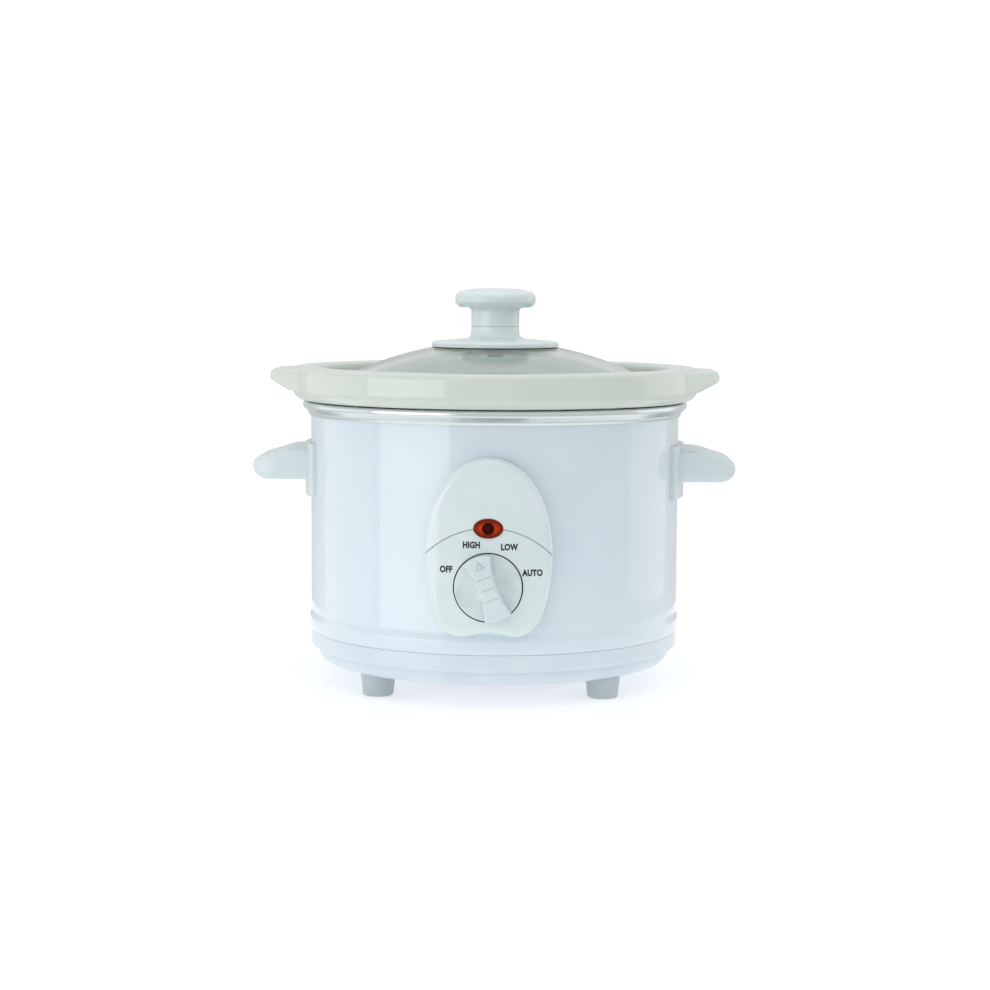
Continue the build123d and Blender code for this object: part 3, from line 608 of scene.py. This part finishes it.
bore_r = 2.9
seal_pocket_r = 15.3
flange_under = arc(dome_r + 0.08, dome_centre, flange_r - 0.8, seal_pocket_r, 16)
seal_over = arc(dome_r + 1.25, dome_centre, seal_pocket_r - 0.05, bore_r, 8)
flange_top = rounded(
    [
        (bore_r, flange_high.z, 0.2),
        (stem_r - 0.05, flange_high.z, 0.35),
        (stem_r, flange_high.z - 5.9, 3.2),
        (26.0, dome_top + 0.4, 30.0),
        (flange_r - 0.2, dome_top - 0.1, 1.8),
        (flange_r, flange_low.z, 0.3),
        (flange_r - 0.8, flange_under[0].y, 0),
        (bore_r, dome_top - 3.5, 0),
    ],
    8,
)[:-2]
knob_flange = turned_piece(
    "knob_flange", flange_top + flange_under[1:] + seal_over + flange_top[:1], knob_phenolic_painted_light, 128
)
settle(knob_flange, "lid", "knob_plastic", "knob_base")

# %% [markdown]
# ## Feet
# Four feet stand on a circle under the base. Each is a short cone with a hole for its screw, whose head
# sits up inside, and a groove in its sole for a soft pad. One foot is turned, and a second tree copies it
# round: it instances the piece on the points of a circle and makes the copies real. The same tree sets the
# pads, so they stay in their grooves whatever the circle's radius is.


# %% The tree that copies a piece round a circle
def circle_tree():
    """Copies a piece to equal steps round a circle about Z."""
    tree = bpy.data.node_groups.new("round_a_circle", "GeometryNodeTree")
    tree.interface.new_socket("Piece", in_out="INPUT", socket_type="NodeSocketGeometry")
    tree.interface.new_socket("Count", in_out="INPUT", socket_type="NodeSocketInt")
    tree.interface.new_socket("Circle Radius", in_out="INPUT", socket_type="NodeSocketFloat")
    tree.interface.new_socket("First Angle", in_out="INPUT", socket_type="NodeSocketFloat")
    tree.interface.new_socket("Finish", in_out="INPUT", socket_type="NodeSocketMaterial")
    tree.interface.new_socket("Copies", in_out="OUTPUT", socket_type="NodeSocketGeometry")
    given = add(tree, "NodeGroupInput").outputs
    circle = add(
        tree, "GeometryNodeMeshCircle", None, {"Vertices": given["Count"], "Radius": given["Circle Radius"]}
    ).outputs[0]
    angle = add(tree, "ShaderNodeCombineXYZ", None, {"Z": given["First Angle"]}).outputs[0]
    turned = add(tree, "GeometryNodeTransform", None, {"Geometry": circle, "Rotation": angle}).outputs[0]
    pairing = {"Points": turned, "Instance": given["Piece"]}
    copies = add(tree, "GeometryNodeInstanceOnPoints", None, pairing).outputs[0]
    add(tree, "NodeGroupOutput", None, {"Copies": real_and_dressed(tree, copies, given["Finish"])})
    return tree


round_a_circle = circle_tree()


# %% Feet and their pads
def round_the_base(name, points, finish):
    """Turns one small piece and sets a copy of it at each foot's place."""
    one = turned_piece(name + "_one", points, finish, 40)
    mesh = one.data
    bpy.data.objects.remove(one)
    sizes = {"Count": 4, "Circle_Radius": foot_circle * MM, "First_Angle": pi / 4}
    return grown(name, mesh, round_a_circle, Finish=finish.material, **sizes)


foot_low, foot_high = (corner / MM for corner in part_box("foot_front_right"))
foot_top_r = (foot_high.x - foot_low.x) / 2
foot_circle = sqrt(2) * (foot_high.x + foot_low.x) / 2
foot_sole_r = foot_top_r - 1.1
foot_top = foot_high.z + 0.5
head_r, shank_r, seat = 3.3, 1.7, 5.0
groove_in, groove_out, groove_depth = 4.6, 6.2, 0.7
foot_profile = [
    (head_r, 0.05, 0.3),
    (groove_in, 0.05, 0.15),
    (groove_in, groove_depth, 0.1),
    (groove_out, groove_depth, 0.1),
    (groove_out, 0.05, 0.15),
    (foot_sole_r, 0.0, 1.2),
    (foot_top_r, foot_top, 0.2),
    (shank_r, foot_top, 0.2),
    (shank_r, seat, 0.2),
    (head_r, seat, 0.3),
]
feet = round_the_base("feet", rounded(foot_profile), foot_pp_painted_shade)
foot_nodes = [f"foot_{a}_{b}" for a in ("front", "back") for b in ("left", "right")]
settle(feet, "base", "foot_plastic", *foot_nodes)
pad_in, pad_out, pad_top = groove_in + 0.05, groove_out - 0.05, groove_depth - 0.02
pad_profile = [(pad_in, 0.0, 0.2), (pad_in, pad_top, 0.1), (pad_out, pad_top, 0.1), (pad_out, 0.0, 0.2)]
pads = round_the_base("foot_pads", rounded(pad_profile), silicone)
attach(pads, "base")

# %% [markdown]
# ## The lock seam at the back
# A rolled drum has to close somewhere. The two edges of the strip are folded into each other and flattened,
# which leaves a narrow raised band up the back. It is a plain curved strip, so mesh code builds it: a row of
# points across, swung round the drum's axis, with its long edges sloped down to the wall.

# %% Lock seam
seam_angle = radians(90 + 24)
seam_half = 3.4
seam_rise = 0.45
seam_bottom = bead_top + 1.2
seam_top = ring_low.z + 0.6
half_across = [(-1, -0.2), (-0.86, 0.75), (-0.7, 1), (-0.35, 0.96)]
across = half_across + [(0, 0.95)] + [(-part, rise) for part, rise in reversed(half_across)]
seam_rows = []
for z in (seam_bottom, seam_top):
    outer = [(wall_r + rise * seam_rise, seam_angle + part * seam_half / wall_r) for part, rise in across]
    inner = [(wall_r - 0.3, angle) for _, angle in reversed(outer)]
    seam_rows.append([(r * cos(a) * MM, r * sin(a) * MM, z * MM) for r, a in outer + inner])
side = len(seam_rows[0])
seam_faces = [(n, (n + 1) % side, side + (n + 1) % side, side + n) for n in range(side)]
seam_faces += [tuple(range(side)), tuple(range(side, 2 * side))]
seam_mesh = bpy.data.meshes.new("lock_seam")
seam_mesh.from_pydata(seam_rows[0] + seam_rows[1], [], seam_faces)
seam_mesh.materials.append(enamel.material)
seam = placed("lock_seam", seam_mesh)
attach(seam, "base")
print("lock seam from", round(seam_bottom, 1), "to", round(seam_top, 1), "mm")

# %% [markdown]
# ## The indicator lens
# The lens is a small oval cap. Its front is crowned and its edge turns over in a tight radius, which is
# where the bright line round it comes from. A crowned oval has no straight edges at all, so it is built
# from rings: each ring is an ellipse, a little smaller and a little further forward than the last. A ring is
# written as its share of the full oval and how far it stands back from the front, in mm.


# %% Lens
def bridge(shape, near, far):
    """Joins two rings of points by a band of four-sided faces."""
    for n in range(len(near)):
        m = (n + 1) % len(near)
        shape.faces.new((near[n], near[m], far[m], far[n]))


lens_front = lens_low.y
lens_depth = 2.7
crown_depth = 0.3
rings = [(1.0, lens_depth), (1.0, 1.0), (0.985, 0.72), (0.95, 0.5), (0.88, 0.33)]
rings += [(share, crown_depth * share**2) for share in (0.75, 0.6, 0.45, 0.3, 0.15)]
lens_sides = 72
lens_shape = bmesh.new()
loops = []
for share, back in rings:
    y = lens_front + back * MM
    half_x, half_z = lens_a * share, lens_b * share
    angles = [2 * pi * n / lens_sides for n in range(lens_sides)]
    oval = [(lens_centre.x + half_x * cos(a), y, lens_centre.z + half_z * sin(a)) for a in angles]
    loops.append([lens_shape.verts.new(corner) for corner in oval])
for near, far in zip(loops, loops[1:]):
    bridge(lens_shape, near, far)
crown_point = lens_shape.verts.new((lens_centre.x, lens_front, lens_centre.z))
for n in range(lens_sides):
    lens_shape.faces.new((loops[-1][n], loops[-1][(n + 1) % lens_sides], crown_point))
lens_shape.faces.new(loops[0])
for face in lens_shape.faces:
    face.smooth = len(face.verts) < 5
lens_mesh = bpy.data.meshes.new("indicator_cap")
lens_shape.to_mesh(lens_mesh)
lens_shape.free()
lens_mesh.materials.append(lens_amber.material)
lens = placed("indicator_cap", lens_mesh)
settle(lens, "base", "lens_plastic", "indicator_lens")

# %% [markdown]
# ## Painted shade behind the dial
# A thin black ring lies behind the dial. Only a line of it shows, in the gap round the dial, and it makes
# that gap read as black: it is painted shade for the deep gap. It is turned like the other rings, then laid
# over to face forwards.

# %% Black ring of painted shade
dial_low, dial_high = (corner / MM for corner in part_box("dial_knob"))
dial_z = (dial_low.z + dial_high.z) / 2
dial_r = (dial_high.x - dial_low.x) / 2
shade_ring_in, shade_ring_out = 7.3, dial_r + 1.4
shade_ring_back, shade_ring_front = 94.9, 96.1
shade_ring_profile = [
    (shade_ring_in, shade_ring_back, 0.1),
    (shade_ring_out, shade_ring_back, 0.1),
    (shade_ring_out, shade_ring_front, 0.3),
    (shade_ring_in, shade_ring_front, 0.3),
]
shade_ring = turned_piece("dial_gap_painted_shade", rounded(shade_ring_profile, 3), gap_painted_shade, 96)
shade_ring.data.transform(Matrix.Translation((0, 0, dial_z * MM)) @ Matrix.Rotation(radians(90), 4, "X"))
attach(shade_ring, "base")

# %% [markdown]
# ## The arrow on the grip
# A small outlined triangle is moulded on the grip's far end, and shows which setting is chosen. It turns
# with the dial, so it rides on the dial's body. Its three corners are drawn four times, outside and inside,
# in front and behind, and each loop is joined to the next, which closes the outline to a solid. Most of its
# thickness is sunk in the grip. It takes the feet's finish, a darker tone than the dial's that is painted
# shade, because so thin a line casts hardly any shadow of its own.

# %% Arrow
arrow_turn = radians(20)
arrow_reach = 11.2
arrow_front = dial_low.y - 0.1
arrow_t = 0.6
centre_x = -arrow_reach * sin(arrow_turn)
centre_z = dial_z + arrow_reach * cos(arrow_turn)
arrow_angles = [pi / 2 + 2 * pi * n / 3 + arrow_turn for n in range(3)]
arrow_out, arrow_in = 2.3, 1.5
arrow_shape = bmesh.new()
arrow_loops = []
for size, depth in ((arrow_out, 0), (arrow_in, 0), (arrow_in, arrow_t), (arrow_out, arrow_t)):
    y = arrow_front + depth
    corners = [(centre_x + size * cos(a), y, centre_z + size * sin(a)) for a in arrow_angles]
    arrow_loops.append([arrow_shape.verts.new([v * MM for v in corner]) for corner in corners])
for near, far in zip(arrow_loops, arrow_loops[1:] + arrow_loops[:1]):
    bridge(arrow_shape, near, far)
arrow_mesh = bpy.data.meshes.new("dial_arrow")
arrow_shape.to_mesh(arrow_mesh)
arrow_shape.free()
# The arrow's darker tone is painted shade for its outline.
arrow_mesh.materials.append(foot_pp_painted_shade.material)
arrow = placed("dial_arrow", arrow_mesh)
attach(arrow, "dial")
print("arrow", len(arrow_mesh.polygons), "faces")

# %% [markdown]
# ## Printed words
# The settings are pad printed: a soft pad presses a film of ink on the curved panel. Each word is a text
# object, made a mesh while it is still flat, then moved point by point on to the panel's crown. A capital is
# about 0.72 of the font's size, the strokes are made bolder by an offset, and the letters are then drawn
# in sideways. The film has a real thickness, a twentieth of a millimetre each way, so that it stays a
# closed solid in the export.

# %% Words on the panel
crown_r = 120.0
panel_front = -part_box("panel_plate")[0].y / MM
word_rise = 0.05
words = {
    "OFF": (-19.6, 68.0),
    "HIGH": (-7.8, 79.6),
    "LOW": (9.8, 78.7),
    "AUTO": (20.7, 66.6),
}
cap_height = 2.9
cap_share = 0.72
bold = 0.2
narrow = 0.8


def printed(word, x, z):
    """A word as a thin film on the panel's crown, centred at x and z."""
    text = bpy.data.objects.new(word, bpy.data.curves.new(word, "FONT"))
    text.data.body = word
    text.data.align_x = "CENTER"
    text.data.align_y = "CENTER"
    text.data.size = cap_height / cap_share
    text.data.offset = bold
    text.data.extrude = word_rise
    text.data.resolution_u = 4
    text.data.space_character = 1.06
    bpy.context.scene.collection.objects.link(text)
    bpy.context.view_layer.update()
    mesh = bpy.data.meshes.new_from_object(text.evaluated_get(bpy.context.evaluated_depsgraph_get()))
    bpy.data.objects.remove(text)
    heights = [v.co.y for v in mesh.vertices]
    middle = (max(heights) + min(heights)) / 2
    for v in mesh.vertices:
        across = x + v.co.x * narrow
        crown_y = crown_r - panel_front - sqrt(crown_r**2 - across**2)
        v.co = (across * MM, (crown_y - v.co.z) * MM, (z + v.co.y - middle) * MM)
    mesh.materials.clear()
    mesh.materials.append(ink.material)
    piece = placed("word_" + word.lower(), mesh)
    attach(piece, "base")
    return piece


for word, (x, z) in words.items():
    made = printed(word, x, z)
    print(made.name, len(made.data.polygons), "faces")

# %% [markdown]
# ## Table and light
# White things on white need light from all round and very little shadow. The table is a disc of lit
# acrylic, so it sends some light up under the pot. It is small, so that the drum mirrors the softboxes
# almost down to its foot, and not the table. The room is plain white, and the softboxes only add the tall
# bands on the drum. Their radiance is what matters: a glossy white coat mirrors about four hundredths of
# what it sees, so even the main softbox, well over twice as bright as the room, only shows as a soft band.

# %% Table
table_finish = Finish("lit_white_acrylic", "#CDCFD0", Roughness=0.6)
table_finish.relief(table_finish.noise(3, 2.0), 0.004)
table_finish.shader.inputs["Emission Color"].default_value = (1, 1, 1, 1)
table_finish.shader.inputs["Emission Strength"].default_value = 0.48
table_mesh = bpy.data.meshes.new("table")
table_r = 0.3
table_sides = 96
table_angles = [2 * pi * n / table_sides for n in range(table_sides)]
table_rim = [(table_r * cos(a), table_r * sin(a), 0) for a in table_angles]
table_mesh.from_pydata(table_rim, [], [range(table_sides)])
table_mesh.materials.append(table_finish.material)
table = bpy.data.objects.new("table", table_mesh)
bpy.context.scene.collection.objects.link(table)

# %% Room and softboxes
world = bpy.data.worlds.new("white_room")
bpy.context.scene.world = world
world.use_nodes = True
room = world.node_tree
room.nodes.clear()
upwards = add(room, "ShaderNodeSeparateXYZ", None, {0: add(room, "ShaderNodeTexCoord").outputs["Generated"]})
floor_light, ceiling_light, backdrop_light = 0.7, 0.95, 1.05
walls = {"Value": upwards.outputs["Z"], "From Max": 0.9, "To Min": floor_light, "To Max": ceiling_light}
wall_light = add(room, "ShaderNodeMapRange", None, walls).outputs["Result"]
lighting = add(room, "ShaderNodeBackground", None, {"Color": (0.97, 0.99, 1, 1), "Strength": wall_light})
backdrop = add(room, "ShaderNodeBackground", None, {"Color": (1, 1, 1, 1), "Strength": backdrop_light})
seen = add(room, "ShaderNodeLightPath").outputs["Is Camera Ray"]
both = add(room, "ShaderNodeMixShader", None, {0: seen, 1: lighting.outputs[0], 2: backdrop.outputs[0]})
add(room, "ShaderNodeOutputWorld", None, {"Surface": both.outputs[0]})
pot_middle = Vector((0, 0, 0.1))


def softbox(name, bearing, elevation, distance, width, height, radiance):
    """A lit panel that faces the pot. Bearing 0 is at the camera's side, and positive is to its right."""
    light = bpy.data.objects.new(name, bpy.data.lights.new(name, "AREA"))
    light.data.shape = "RECTANGLE"
    light.data.size = width
    light.data.size_y = height
    light.data.energy = radiance * width * height * pi
    turn = radians(bearing)
    rise = radians(elevation)
    away = Vector((sin(turn) * cos(rise), -cos(turn) * cos(rise), sin(rise)))
    light.location = pot_middle + away * distance
    light.rotation_euler = away.to_track_quat("Z", "Y").to_euler()
    bpy.context.scene.collection.objects.link(light)


softbox("left_softbox", -48, -2, 1.6, 1.35, 0.7, 1.4)
softbox("far_left_softbox", -102, -2, 1.6, 1.5, 0.7, 0.4)
softbox("right_softbox", 112, 4, 1.6, 1.2, 0.8, 0.45)
softbox("top_softbox", 10, 72, 1.5, 1.0, 1.0, 0.7)

# %% [markdown]
# Plain display values suit a white set: the room's white stays white, with no film curve over it.

# %% Display
bpy.context.scene.view_settings.view_transform = "Standard"
bpy.context.scene.view_settings.look = "None"
